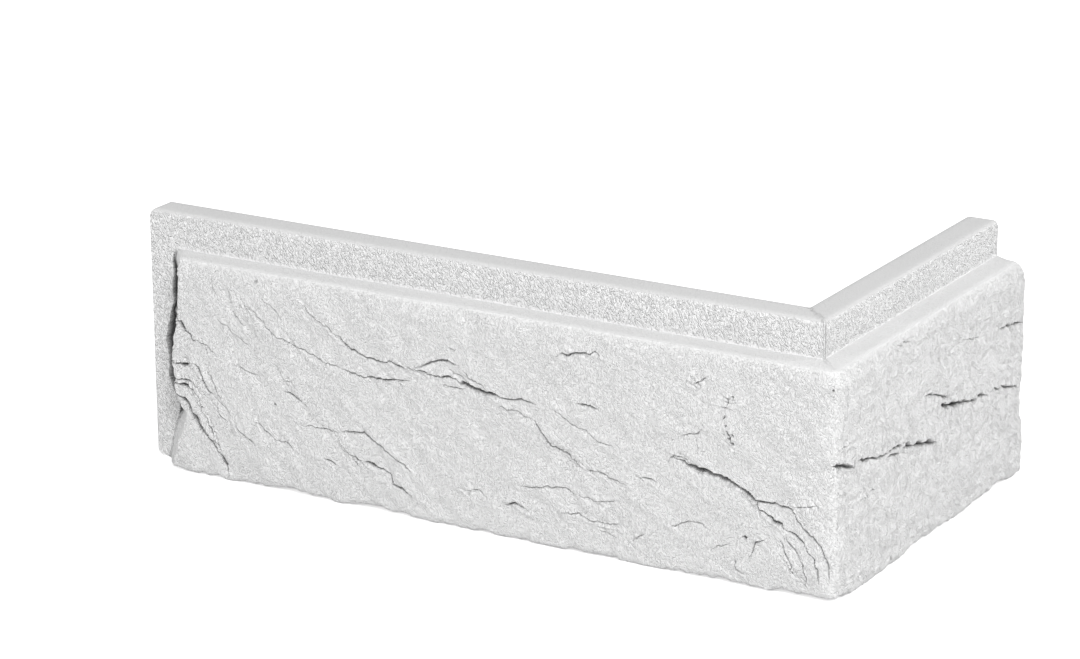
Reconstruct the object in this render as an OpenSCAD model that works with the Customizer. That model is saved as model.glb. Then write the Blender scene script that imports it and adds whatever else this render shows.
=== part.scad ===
// Concrete corner brick slip, cast in one piece.
// A flat L-shaped backing plate carries a thin brick face round an outer corner.
// The plate shows as a mortar joint above the brick face and past its left end.
// The brick face has a rounded upper arris, a wavy lower edge, slow waves and clefts.

/* [Brick face] */
// Length of the brick face along the long leg
brick_length = 240; // [200:1:300]
// Height of the brick face
brick_height = 71.5; // [60:0.5:90]
// Length of the brick face along the short leg
header_length = 132.5; // [100:0.5:170]
// How far the brick face stands out of the backing plate
relief_depth = 11.2; // [8:0.2:16]

/* [Backing plate] */
// Thickness of the backing plate
plate_thickness = 9.8; // [8:0.2:16]
// Width of the joint strip above the brick face
top_joint = 12; // [6:0.5:16]
// Width of the joint strip at the left end of the brick face
end_joint = 12; // [8:0.5:16]
// Radius of the plate's corners in elevation
plate_corner_r = 2.5; // [1:0.25:5]

/* [Edges] */
// Radius of the upper arris of the brick face
top_arris_r = 4.5; // [2:0.25:5]
// Radius of the upright arris at the outer corner
corner_arris_r = 4; // [2:0.25:6]
// Radius of the upright arris at both ends of the brick face
end_arris_r = 3; // [1:0.25:5]
// Mean radius of the lower arris
bottom_arris_r = 2.6; // [1.5:0.1:3.5]
// How much the lower arris radius swings along the brick
bottom_arris_swing = 1.1; // [0:0.1:1.4]
// How far the left end leans back from its foot to its top
end_lean = 4; // [0:0.5:6]
// Width of the joint strip left clear past the drafted left end
end_strip = 6; // [4:0.5:12]

/* [Surface] */
// Height of the slow waves on the long face
long_wave = 0.7; // [0:0.1:1.5]
// Height of the lumps on the short face
header_lump = 1.1; // [0:0.1:2]
// Depth of the deepest clefts
cleft_depth = 3.2; // [0:0.2:5]
// Width of a cleft's mouth
cleft_width = 4; // [3:0.2:6]

/* [Hidden] */

// Spacing of the points that the face is drawn through
face_step = 2.4;
// Steps round the corner arris and round a plate corner
corner_steps = 4;
plate_steps = 6;
// Smallest radius left where the corner arris is cut back
least_r = 0.4;

plate_length = brick_length + end_joint;
plate_height = brick_height + top_joint;
total_depth = relief_depth + plate_thickness;
// How far the left end of the brick face spreads from its front edge to the plate
end_draft = end_joint - end_strip;
corner_reach = max(corner_arris_r, top_arris_r) + 2 * least_r;
bottom_inset = corner_reach - 1.5 * least_r;

// Clefts of the long face: depth share, then points [distance from the outer corner, height]
long_clefts = [
  [0.7, [[144, 49], [133, 48], [123, 47], [114, 45], [103, 45]]],
  [1.0, [[56, 37], [48, 36], [44, 34], [36, 32], [32, 31], [27, 28]]],
  [0.7, [[27, 28], [25, 25], [20, 24], [17, 21]]],
  [0.4, [[27, 28], [16, 29]]],
  [0.3, [[117, 43], [104, 39], [96, 33], [85, 29], [71, 25]]],
  [0.4, [[12, 22], [8, 20], [4, 15], [3, 8]]]
];
// Clefts near the left end: depth share, then points [distance from the left end, height]
left_clefts = [
  [0.9, [[5, 66], [4, 58], [6, 52], [13, 45], [22, 42]]],
  [0.8, [[2, 46], [2, 30], [6, 22], [4, 12]]],
  [0.8, [[4, 27], [9, 24], [15, 16], [21, 9], [24, 3]]],
  [0.4, [[11, 39], [17, 30], [26, 21], [35, 14]]],
  [0.3, [[36, 58], [46, 51], [60, 47], [75, 45], [92, 45]]],
  [0.3, [[52, 25], [65, 24], [77, 25], [87, 19]]],
  [0.3, [[69, 18], [84, 14], [93, 7]]]
];
// Clefts of the short face: depth share, then points [distance from the outer corner, height]
header_clefts = [
  [0.9, [[1, 42], [9, 40]]],
  [0.5, [[13, 42], [27, 39], [38, 39]]],
  [0.9, [[44, 37], [55, 34], [65, 32]]],
  [0.7, [[60, 49], [71, 45], [83, 38], [94, 37], [102, 35]]],
  [0.6, [[109, 37], [118, 34], [126, 31]]],
  [0.4, [[110, 56], [119, 54], [126, 53]]]
];

// Stations along the brick face: [distance past the corner, how far the corner has turned]
long_count = ceil((brick_length - corner_reach) / face_step);
short_count = ceil((header_length - corner_reach) / face_step);
long_stations = [for (i = [0:long_count])
  [-brick_length + (brick_length - corner_reach) * i / long_count, 0]];
corner_stations = [for (i = [0:corner_steps]) [0, 90 * i / corner_steps]];
short_stations = [for (i = [0:short_count])
  [corner_reach + (header_length - corner_reach) * i / short_count, 90]];
stations = concat(long_stations, corner_stations, short_stations);
station_count = len(stations);

// Heights of the rows between the two arrises
bottom_band = bottom_arris_r + bottom_arris_swing;
row_count = ceil((brick_height - bottom_band - top_arris_r) / face_step);
mid_rows = [for (i = [1:row_count - 1])
  bottom_band + (brick_height - bottom_band - top_arris_r) * i / row_count];
bottom_turns = [0, 30, 60, 90];
top_turns = [0, 20, 40, 65, 90];
ring_size = 1 + len(bottom_turns) + len(mid_rows) + len(top_turns);

// Distance from a point to a stretch of a cleft, and to the whole cleft
function stretch_gap(p, a, b) =
  let (along = b - a, share = (p - a) * along / (along * along))
  norm(p - a - along * min(1, max(0, share)));
function cleft_gap(p, path) = min([for (i = [1:len(path) - 1]) stretch_gap(p, path[i - 1], path[i])]);
// Depth of the deepest cleft at a point
function cleft(p, clefts) =
  max([for (c = clefts) c[0] * max(0, 1 - cleft_gap(p, c[1]) / cleft_width)]) * cleft_depth;

// Share between 0 and 1 of a slow ripple across the long face and of the short face's lumps
function ripple(u, z) =
  0.5 + 0.22 * sin(3.1 * u + 6.5 * z) + 0.16 * sin(8.7 * u - 4.2 * z + 70) + 0.12 * sin(1.3 * u + 17 * z + 200);
function lump(u, z) =
  0.5 + 0.2 * sin(9 * u + 5 * z) + 0.16 * sin(14 * z - 6 * u + 40) + 0.14 * sin(17 * u + 11 * z + 120);

// How far the face lies behind its nominal plane
function end_drop(edge) =
  edge < end_arris_r ? end_arris_r - sqrt(end_arris_r ^ 2 - (end_arris_r - edge) ^ 2) : 0;
function surface_drop(s, z) =
  let (u = s[0])
  s[1] == 0 ? long_wave * ripple(u, z)
    + max(cleft([-u, z], long_clefts), cleft([u + brick_length, z], left_clefts)) :
  s[1] == 90 ? header_lump * lump(u, z) + cleft([u, z], header_clefts) :
  long_wave * ripple(0, z) * (90 - s[1]) / 90 + header_lump * lump(0, z) * s[1] / 90;
function ends_drop(s) =
  s[1] == 0 ? end_drop(s[0] + brick_length) : s[1] == 90 ? end_drop(header_length - s[0]) : 0;

// Radius of the lower arris at a station
function foot_r(s) = bottom_arris_r + bottom_arris_swing * (0.6 * sin(5.3 * s[0] + 30) + 0.4 * sin(11 * s[0]));

// One ring of [inset, height] pairs from the foot of the face to its top
function ring(s) =
  let (r = foot_r(s), e = ends_drop(s))
  concat(
    [[bottom_inset, 0]],
    [for (t = bottom_turns) [e + (r - e) * (1 - sin(t)), r * (1 - cos(t))]],
    [for (z = mid_rows) [max(e, min(surface_drop(s, z), bottom_inset)), z]],
    [for (t = top_turns)
      [max(e, top_arris_r * (1 - cos(t))), brick_height - top_arris_r * (1 - sin(t))]]
  );
// A ring's pair as a point in space
function place(s, p) =
  let (
    d = p[0],
    z = p[1],
    r = max(corner_arris_r - d, least_r),
    c = d + r,
    lean = end_lean * p[1] / brick_height * max(0, 1 - (s[0] + brick_length) / (brick_length / 4))
  )
  s[1] == 0 && s[0] < 0 ? [s[0] + lean, d, z] :
  s[1] == 90 && s[0] > 0 ? [-d, s[0], z] :
  [-c + r * sin(s[1]), c - r * cos(s[1]), z];

// Free corners of the plate in elevation: both at the left end, the upper one at the far end
arc = [for (i = [0:plate_steps]) 90 * i / plate_steps];
left_profile = concat(
  [for (t = arc) [-plate_length + plate_corner_r * (1 - sin(t)), plate_corner_r * (1 - cos(t))]],
  [for (t = arc) [-plate_length + plate_corner_r * (1 - cos(t)), plate_height - plate_corner_r * (1 - sin(t))]]
);
far_profile = [for (t = arc)
  [header_length - plate_corner_r * (1 - sin(t)), plate_height - plate_corner_r * (1 - cos(t))]];

// The whole slip as one closed skin
module slip_skin() {
  skin = [for (s = stations) let (pairs = ring(s)) for (p = pairs) place(s, p)];
  single = [
    [-brick_length - end_draft, relief_depth, 0],
    [-brick_length - end_draft + end_lean, relief_depth, brick_height],
    [-relief_depth, relief_depth, brick_height],
    [-relief_depth, relief_depth, plate_height],
    [-relief_depth, header_length, brick_height],
    [-total_depth, total_depth, 0],
    [-total_depth, total_depth, plate_height],
    [-total_depth, header_length, 0]
  ];
  front_left = [for (p = left_profile) [p[0], relief_depth, p[1]]];
  back_left = [for (p = left_profile) [p[0], total_depth, p[1]]];
  front_far = [for (p = far_profile) [-relief_depth, p[0], p[1]]];
  back_far = [for (p = far_profile) [-total_depth, p[0], p[1]]];

  // Where each group of points starts, and the name of each single point
  first = station_count * ring_size;
  face_foot = first;
  face_head = first + 1;
  strip_foot = first + 2;
  strip_head = first + 3;
  far_head = first + 4;
  inner_foot = first + 5;
  inner_head = first + 6;
  far_foot = first + 7;
  left_size = len(left_profile);
  far_size = len(far_profile);
  fl = first + len(single);
  bl = fl + left_size;
  ff = bl + left_size;
  bf = ff + far_size;
  last = station_count - 1;

  skin_faces = [for (i = [0:last - 1], j = [0:ring_size - 2])
    let (a = i * ring_size + j, b = a + ring_size) each [[a, a + 1, b], [a + 1, b + 1, b]]];
  low_edge = [for (i = [0:last]) i * ring_size];
  high_edge = [for (i = [last:-1:0]) i * ring_size + ring_size - 1];
  left_end = [for (j = [0:ring_size - 2]) [face_head, j + 1, j], [face_head, 0, face_foot]];
  far_edge = [for (j = [0:ring_size - 1]) last * ring_size + j];
  left_rim = [for (k = [0:left_size - 2]) [bl + k, bl + k + 1, fl + k + 1, fl + k]];
  far_rim = [for (k = [0:far_size - 2]) [ff + k + 1, ff + k, bf + k, bf + k + 1]];
  flats = [
    // Shelf on top of the brick face, and the foot of the whole slip
    concat([strip_foot, far_head], high_edge, [face_head]),
    concat([inner_foot, bl, fl, face_foot], low_edge, [far_foot]),
    // Joint strips of the long and the short leg
    concat([face_head, face_foot], [for (k = [0:left_size - 1]) fl + k], [strip_head, strip_foot]),
    concat([strip_foot, strip_head], [for (k = [0:far_size - 1]) ff + k], [far_head]),
    // Backs of the two legs, top of the plate and far end of the short leg
    concat([inner_foot, inner_head], [for (k = [left_size - 1:-1:0]) bl + k]),
    concat([far_foot], [for (k = [far_size - 1:-1:0]) bf + k], [inner_head, inner_foot]),
    [inner_head, bf, ff, strip_head, fl + left_size - 1, bl + left_size - 1],
    concat([far_head, ff + far_size - 1, bf + far_size - 1, far_foot], far_edge)
  ];
  polyhedron(
    points = concat(skin, single, front_left, back_left, front_far, back_far),
    faces = concat(skin_faces, left_end, left_rim, far_rim, flats)
  );
}

// The slip, centred over its foot
module corner_brick_slip() {
  color([0.86, 0.86, 0.85]) translate([plate_length / 2, -header_length / 2, 0]) slip_skin();
}

corner_brick_slip();
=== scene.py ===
"""Looks of a concrete corner brick slip: one cast piece, drawn as a closed, displaced skin.

The skin is swept round the outer corner. A point on it has two running lengths: along, which is
negative on the long leg and positive on the short leg, and girth, which runs from the foot of the
plate under the slip, up the brick face, over its shelf, up the joint strip and down the back.
Lengths inside the script are millimetres in the slip's own corner frame until they are placed.
"""

import math

import bmesh
import bpy
import numpy as np
from mathutils import Matrix, Vector


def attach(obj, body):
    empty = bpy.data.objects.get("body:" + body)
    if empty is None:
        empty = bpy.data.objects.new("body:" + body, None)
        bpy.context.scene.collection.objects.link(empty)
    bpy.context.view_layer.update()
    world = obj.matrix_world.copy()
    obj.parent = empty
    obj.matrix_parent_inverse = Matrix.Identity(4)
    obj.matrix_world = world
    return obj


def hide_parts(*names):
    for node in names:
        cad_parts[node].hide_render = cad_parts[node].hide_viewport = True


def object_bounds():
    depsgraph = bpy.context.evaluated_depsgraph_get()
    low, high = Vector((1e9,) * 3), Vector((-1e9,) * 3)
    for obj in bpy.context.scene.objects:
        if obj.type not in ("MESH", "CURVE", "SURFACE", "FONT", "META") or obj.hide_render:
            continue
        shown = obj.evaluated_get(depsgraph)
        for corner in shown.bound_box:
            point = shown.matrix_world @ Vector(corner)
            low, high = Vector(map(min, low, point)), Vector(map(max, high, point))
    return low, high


bl_info = {
    "name": "Concrete corner brick slip",
    "version": (1, 0, 0),
    "blender": (4, 5, 0),
    "location": "View3D > Sidebar > Brick slip",
    "description": "Skins the packed corner brick slip with cast concrete and sets its stage",
    "category": "Object",
}

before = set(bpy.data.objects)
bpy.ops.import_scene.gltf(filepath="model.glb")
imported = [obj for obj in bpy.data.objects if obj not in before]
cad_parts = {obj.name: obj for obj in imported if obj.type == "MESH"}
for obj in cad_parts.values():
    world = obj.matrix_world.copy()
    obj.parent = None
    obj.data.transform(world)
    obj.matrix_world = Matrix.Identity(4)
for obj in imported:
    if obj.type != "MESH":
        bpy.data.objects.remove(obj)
CAD_LOW, CAD_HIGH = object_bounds()
NODE = "corner_brick_slip"
MM = 0.001
PHOTO_SIZE = (1080, 659)


# Sizes and colours that a user would change


class SlipSizes(bpy.types.PropertyGroup):
    """Sizes of the slip, which match the frame"""

    end_joint: bpy.props.FloatProperty(
        name="End joint", description="Joint strip past the left end of the brick face",
        default=0.012, min=0.004, max=0.03, unit="LENGTH")
    top_joint: bpy.props.FloatProperty(
        name="Top joint", description="Joint strip above the brick face",
        default=0.012, min=0.004, max=0.03, unit="LENGTH")
    relief: bpy.props.FloatProperty(
        name="Relief", description="How far the brick face stands out of the plate",
        default=0.0112, min=0.004, max=0.03, unit="LENGTH")
    plate: bpy.props.FloatProperty(
        name="Plate", description="Thickness of the backing plate",
        default=0.0098, min=0.004, max=0.03, unit="LENGTH")
    top_arris: bpy.props.FloatProperty(
        name="Top arris", description="Radius of the upper arris of the brick face",
        default=0.0045, min=0.001, max=0.01, unit="LENGTH")
    corner_arris: bpy.props.FloatProperty(
        name="Corner arris", description="Radius of the upright arris at the corner",
        default=0.004, min=0.001, max=0.01, unit="LENGTH")
    mesh_step: bpy.props.FloatProperty(
        name="Mesh step", description="Spacing of the skin's points on the brick face",
        default=0.00095, min=0.0004, max=0.005, unit="LENGTH")


class SlipLook(bpy.types.PropertyGroup):
    """Colours, painted shade and surface heights of the cast concrete"""

    face_colour: bpy.props.FloatVectorProperty(
        name="Brick face", description="Colour of the brick face",
        default=(0.80, 0.80, 0.80), size=3, subtype="COLOR", min=0, max=1)
    strip_colour: bpy.props.FloatVectorProperty(
        name="Joint strip", description="Colour of the sandy joint strip",
        default=(0.82, 0.82, 0.82), size=3, subtype="COLOR", min=0, max=1)
    # Partly painted shade: the smooth cast edges' own tone, set darker to hold down the stronger light from
    # above on the shelf
    edge_tone_and_painted_shade: bpy.props.FloatVectorProperty(
        name="Cast edges", description="Colour of the smooth edges and the back",
        default=(0.69, 0.69, 0.69), size=3, subtype="COLOR", min=0, max=1)
    # Painted shade: the plate's upper edge is given a darker colour than the rest of the concrete to hold
    # down the stronger light from above on it
    rim_painted_shade_colour: bpy.props.FloatVectorProperty(
        name="Plate rim", description="Colour of the plate's upper edge",
        default=(0.61, 0.61, 0.61), size=3, subtype="COLOR", min=0, max=1)
    # Painted shade: the colour that the clefts, the left end's slit and the pin holes are darkened towards,
    # in place of the shade down in them
    cleft_painted_shade: bpy.props.FloatVectorProperty(
        name="Clefts", description="Colour down in the clefts",
        default=(0.16, 0.16, 0.16), size=3, subtype="COLOR", min=0, max=1)
    grain_height: bpy.props.FloatProperty(
        name="Grain", description="Height of the fine grain", default=0.00037, unit="LENGTH")


class SlipStage(bpy.types.PropertyGroup):
    """Camera and lamps"""

    azimuth: bpy.props.FloatProperty(
        name="Azimuth", description="Camera's turn to the right of the long face",
        default=math.radians(30.728), subtype="ANGLE")
    elevation: bpy.props.FloatProperty(
        name="Elevation", description="Camera's height above the horizon",
        default=math.radians(17.813), subtype="ANGLE")
    roll: bpy.props.FloatProperty(
        name="Roll", description="Camera's roll", default=math.radians(-0.365), subtype="ANGLE")
    distance: bpy.props.FloatProperty(
        name="Distance", description="Depth of the slip's front foot corner in the view",
        default=1.1578, unit="LENGTH")
    focal: bpy.props.FloatProperty(
        name="Focal length", description="In millimetres on a 36 mm wide sensor", default=131.93)
    key_power: bpy.props.FloatProperty(
        name="Key light", description="Power of the key light in watts", default=18.5)
    fill: bpy.props.FloatProperty(
        name="Fill", description="Strength of the white room", default=0.55)


# Where the front foot corner of the slip shows in the photograph's pixels
CORNER_PIXEL = (837.3, 608.3)


# Seeded noise on arrays

HASH_CELL = np.array([73856093, 19349663, 83492791], dtype=np.int64)
HASH_SEED = 2654435761
HASH_MIX = 1274126177
HASH_TOP = 0x1000000


def hashed(cells, seed):
    """A value between 0 and 1 for each whole cell."""
    mixed = (cells * HASH_CELL).sum(axis=-1) + seed * HASH_SEED
    mixed = (mixed ^ (mixed >> 13)) * HASH_MIX
    mixed = mixed ^ (mixed >> 16)
    return (mixed & (HASH_TOP - 1)) / float(HASH_TOP)


def noise(points, size, seed):
    """Smooth value noise between -1 and 1, with lumps about size across."""
    scaled = points / size
    low = np.floor(scaled).astype(np.int64)
    part = scaled - low
    part = part * part * part * (part * (part * 6 - 15) + 10)
    total = np.zeros(len(points))
    for corner in range(8):
        step = np.array([corner & 1, corner >> 1 & 1, corner >> 2 & 1])
        weight = np.prod(np.where(step, part, 1 - part), axis=-1)
        total += weight * hashed(low + step, seed)
    return total * 2 - 1


def layered(points, size, layers, seed):
    """Noise with each layer half the size and half the height of the last."""
    total = np.zeros(len(points))
    for layer in range(layers):
        total += noise(points, size / 2 ** layer, seed + layer) / 2 ** layer
    return total


def noise_sum(points, waves, base=0):
    """A base plus noises that are given as (height, size, seed)."""
    return sum((height * noise(points, size, seed) for height, size, seed in waves), base)


def smooth(edge_low, edge_high, value):
    """0 below edge_low, 1 above edge_high and smooth between."""
    share = np.clip((value - edge_low) / (edge_high - edge_low), 0, 1)
    return share * share * (3 - 2 * share)


# Kinds of cleft: width, depth and the height of its lip, in millimetres
CLEFT_KINDS = {
    "rift": (2.6, 3.4, 0.7),
    "gash": (2.0, 2.4, 0.5),
    "split": (1.4, 1.7, 0.35),
    "crack": (0.9, 1.1, 0.25),
    "thin": (0.6, 0.7, 0.15),
    "hair": (0.45, 0.5, 0.1),
}

# Clefts of each leg: kind, then points [millimetres along, height]. Along is from the left end
# of the brick face, or from the corner on the short leg.
LONG_CLEFTS = [
    # Left end
    ("gash", [(3.5, 53), (5.5, 51), (6.5, 49), (9, 47), (11.5, 45.5)]),
    ("thin", [(11.5, 45.5), (15.5, 44.5), (19.5, 41.5)]),
    ("split", [(1.5, 37.5), (3.5, 36.5), (6, 36.5), (9, 37)]),
    ("split", [(10.5, 38), (12.5, 36), (13.5, 34), (14.5, 31.5), (16, 29.5), (18, 28)]),
    ("thin", [(18, 28), (21, 25.5), (23.5, 23.5), (24.5, 21)]),
    ("crack", [(15.5, 35.5), (17, 33), (18.5, 32), (19.5, 29.5), (21, 28)]),
    ("crack", [(19, 26), (19.5, 23.5), (21, 21.5), (23, 20)]),
    ("crack", [(26, 19.5), (28, 17.5), (31.5, 15.5), (34, 13.5)]),
    ("crack", [(2, 32.5), (4, 31.5), (7.5, 31.5), (10, 31), (12, 29.5), (13, 28)]),
    ("split", [(1.5, 29), (5, 30), (8, 29.5), (10.5, 28.5), (11.5, 27)]),
    ("crack", [(11.5, 27), (12.5, 24.5), (13.5, 21.5), (15, 18.5), (17, 15), (20.5, 10.5)]),
    ("gash", [(1, 27), (4, 26), (6.5, 24.5), (8.5, 22.5), (9.5, 20), (11.5, 17), (14, 15), (17, 12),
              (18.5, 10), (20.5, 8), (23, 2)]),
    ("rift", [(6.5, 24.5), (8.5, 22.5), (9.5, 20), (11.5, 17), (15, 14)]),
    # Long folds that come down from the upper left
    ("thin", [(31, 60.5), (37, 56.5), (42.5, 52), (48, 50), (55.5, 48), (59, 46.5), (67, 45)]),
    ("crack", [(67, 45), (72, 44), (81, 44), (87, 45), (92, 45)]),
    ("thin", [(52, 64.5), (55, 62), (58.5, 60), (65, 56)]),
    ("crack", [(65, 56), (71, 52), (77, 50), (85, 50), (91, 49)]),
    ("hair", [(20.5, 54), (24.5, 51.5), (29, 48.5), (32.5, 46.5)]),
    ("hair", [(26, 40.5), (29.5, 39), (31.5, 38.5), (36, 37.5)]),
    ("hair", [(26, 58), (29, 54.5), (31.5, 53)]),
    ("hair", [(18.5, 68), (19, 64.5), (21, 61.5)]),
    ("hair", [(24.5, 65), (26.5, 60)]),
    ("hair", [(38, 63.5), (41.5, 61.5), (45, 57.5)]),
    ("thin", [(44.5, 38.5), (47.5, 37)]),
    ("crack", [(45, 34), (48.5, 33.5), (52, 31)]),
    # Steps along the lower left
    ("thin", [(33.5, 22.5), (37.5, 20), (41, 17), (45, 17), (49, 15.5)]),
    ("crack", [(60, 14.5), (64, 13)]),
    ("thin", [(51, 24), (58, 24), (66, 24)]),
    ("crack", [(66, 24), (71, 25), (75, 25), (79, 23), (84, 20), (89, 17), (92, 15)]),
    ("thin", [(65, 19), (70, 17), (75, 15)]),
    ("split", [(74, 15.5), (80, 15), (84, 13), (85, 10), (89, 9), (92, 7)]),
    # Ridge in the middle
    ("crack", [(91, 49), (98, 49), (101, 48), (107, 49), (111, 48)]),
    ("gash", [(109, 48), (113, 47), (118, 46), (124, 45)]),
    ("crack", [(123, 45), (126, 45), (131, 46), (137, 45)]),
    ("crack", [(95, 50), (100, 53), (106, 54), (110, 53)]),
    ("thin", [(110, 53), (112, 51), (115, 49), (120, 47)]),
    ("thin", [(103, 46), (107, 46), (112, 46)]),
    ("thin", [(106, 51), (111, 50), (114, 48)]),
    ("hair", [(106, 58), (109, 58)]),
    # From the ridge down to the right
    ("thin", [(123, 42), (130, 42), (136, 40)]),
    ("crack", [(136, 40), (140, 36), (142, 33), (149, 31), (153, 28)]),
    ("thin", [(153, 28), (160, 27), (166, 25), (169, 25)]),
    ("hair", [(143, 45), (146, 44), (149, 41), (154, 40), (160, 37), (165, 36)]),
    ("crack", [(151, 48), (156, 48), (159, 47.5)]),
    ("crack", [(144, 62), (149, 63), (152, 64), (156, 64), (158, 65), (160, 63)]),
    # Short creases along the foot
    ("hair", [(111, 13), (116, 14), (120, 12)]),
    ("crack", [(126, 11), (129, 12), (133, 11)]),
    ("thin", [(131, 18), (138, 19), (146, 20), (151, 19)]),
    ("hair", [(151, 19), (160, 18), (166, 19)]),
    ("thin", [(146, 12), (152, 13), (156, 11), (161, 11), (166, 12)]),
    ("hair", [(159, 9), (165, 7)]),
    ("hair", [(170, 7), (175, 11)]),
    ("hair", [(183, 14), (189, 17), (194, 17), (197, 15)]),
    ("hair", [(197, 10), (204, 13)]),
    ("thin", [(173, 28), (179, 28)]),
    # Rift towards the corner, and the arcs below it
    ("thin", [(182.5, 35), (185, 38), (190, 36.5)]),
    ("thin", [(183, 36.5), (189, 36)]),
    ("rift", [(187, 36.5), (193, 34.5), (197, 34), (201, 33), (204, 32), (208, 31), (210, 29.5),
              (213, 27.5)]),
    ("split", [(211, 28), (216, 28), (219.5, 28)]),
    ("hair", [(224, 28.5), (229, 29), (233, 30)]),
    ("split", [(212, 28), (213, 25), (217, 24), (220, 22), (222, 21)]),
    ("crack", [(218, 28), (224, 28), (226, 25), (228, 22), (231, 20), (234, 17), (236, 13), (237, 7)]),
    ("crack", [(221, 21), (225, 19.5), (228, 18), (231, 14), (233, 10), (233, 5)]),
    ("thin", [(222, 19), (226, 15), (228, 11), (229, 6), (229, 3)]),
    ("thin", [(220, 18), (222, 14), (224, 10), (224, 6)]),
    ("crack", [(205, 8), (206, 5), (208, 3.5)]),
    ("thin", [(210, 10), (212, 14.5), (216, 17)]),
    ("thin", [(187, 44), (191, 45), (194, 47)]),
    ("hair", [(192, 44), (193, 40)]),
    ("thin", [(191, 61), (196, 63)]),
    # Crumbled line above the rift
    ("crack", [(202, 59), (203.5, 57.5), (202.5, 56)]),
    ("crack", [(202, 53), (201, 51.5)]),
    ("split", [(202.5, 48.5), (203.5, 46.5), (203.5, 44.5)]),
]
HEADER_CLEFTS = [
    ("gash", [(-1.5, 43), (3, 42.5), (7, 41.5), (12, 40)]),
    ("split", [(14, 41), (22, 39.5), (28, 38), (37, 38), (46, 37)]),
    ("crack", [(34, 36), (43, 35)]),
    ("gash", [(45, 36), (55, 34), (67, 31)]),
    ("crack", [(60, 48), (70, 45), (77, 42)]),
    ("gash", [(71, 41.5), (83, 38), (91, 37)]),
    ("split", [(88, 37), (97, 36), (104, 35)]),
    ("crack", [(103, 35), (110, 35), (117, 34), (124, 32), (131, 30)]),
    ("split", [(114, 54), (124, 53), (132, 51)]),
    ("thin", [(18, 28), (26, 29)]),
    ("thin", [(3, 47), (10, 48)]),
    ("hair", [(40, 69), (50, 68)]),
    ("hair", [(86, 58), (95, 56), (101, 57)]),
]
# The open slit between the brick face's left end and the joint strip: height and share of its depth
END_SLIT = [
    (15, 0), (19, 0.8), (24, 1), (30, 1), (36, 0.8), (46, 1), (48.5, 0.8), (50, 0.35), (52, 0.55),
    (55, 0.75), (60, 0.6), (66, 0.4), (71, 0)]
# Small round holes: along from the left end, height, radius
PITS = [
    (204, 58.5, 0.5), (202, 55.5, 0.4), (202.2, 49.5, 0.45), (204.2, 47.2, 0.5), (203, 45.6, 0.6),
    (204.4, 44.6, 0.45), (208.5, 16, 1.0), (237, 66, 0.55), (41.5, 29, 0.55)]

# How far a cleft strays from its straight corners, as (height, size, seed) of each noise
STRAY_ALONG = [(0.4, 1.9, 501), (0.2, 0.9, 503)]
STRAY_UP = [(0.45, 1.9, 502), (0.25, 0.9, 504)]
PATH_STEP = 0.6
# How far a lip's step reaches from its cleft, the length over which it falls, and the share by
# which the other bank rises
LIP_REACH = 9.0
LIP_FALL = 2.6
LIP_RISE = 0.35
# The longest tapered end of a cleft
CLEFT_TAPER = 3.5
# Distances from a cleft within which the quads are split, one round after the other
SPLIT_MARGINS = [1.5, 0.7]
# A point this near a cleft's path, as a share of the mesh step, is moved onto it
SNAP_SHARE = 0.13


class Shape:
    """The slip's sizes in millimetres, worked out from the frame and the properties."""

    def __init__(self, sizes):
        low, high = np.array(CAD_LOW) / MM, np.array(CAD_HIGH) / MM
        self.length, self.header, self.height = high - low
        self.joint = sizes.end_joint / MM
        self.face = self.height - sizes.top_joint / MM
        self.relief = sizes.relief / MM
        self.depth = self.relief + sizes.plate / MM
        self.top_r = sizes.top_arris / MM
        self.corner_r = sizes.corner_arris / MM
        self.step = sizes.mesh_step / MM
        self.brick = self.length - self.joint
        # Running length along which the corner is turned
        self.half_turn = self.corner_r * math.pi / 4
        self.slack = self.corner_r - self.half_turn
        self.foot_r = 2.4
        self.plate_r = 0.8
        self.back_r = 0.7
        self.offset = np.array([self.length / 2, -self.header / 2, 0.0])

    def girth_table(self):
        """The section as a fine polyline: girth, inset from the face and height."""
        def arc(centre, radius, start, stop, count):
            turns = np.radians(np.linspace(start, stop, count))
            return [(centre[0] - radius * math.cos(t), centre[1] + radius * math.sin(t)) for t in turns]

        back, strip = self.depth, self.relief
        top, face = self.height, self.face
        points = [(back, 0.0), (self.foot_r, 0.0)]
        points += arc((self.foot_r, self.foot_r), self.foot_r, -90, 0, 9)[1:]
        points += arc((self.top_r, face - self.top_r), self.top_r, 0, 90, 13)
        points += [(strip, face)]
        points += arc((strip + self.plate_r, top - self.plate_r), self.plate_r, 0, 90, 7)
        points += arc((back - self.back_r, top - self.back_r), self.back_r, 90, 180, 5)
        points += [(back, 0.0)]
        points = np.array(points)
        gaps = np.hypot(*np.diff(points, axis=0).T)
        girth = np.concatenate([[0], np.cumsum(gaps)])
        return girth, points[:, 0], points[:, 1]


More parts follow.
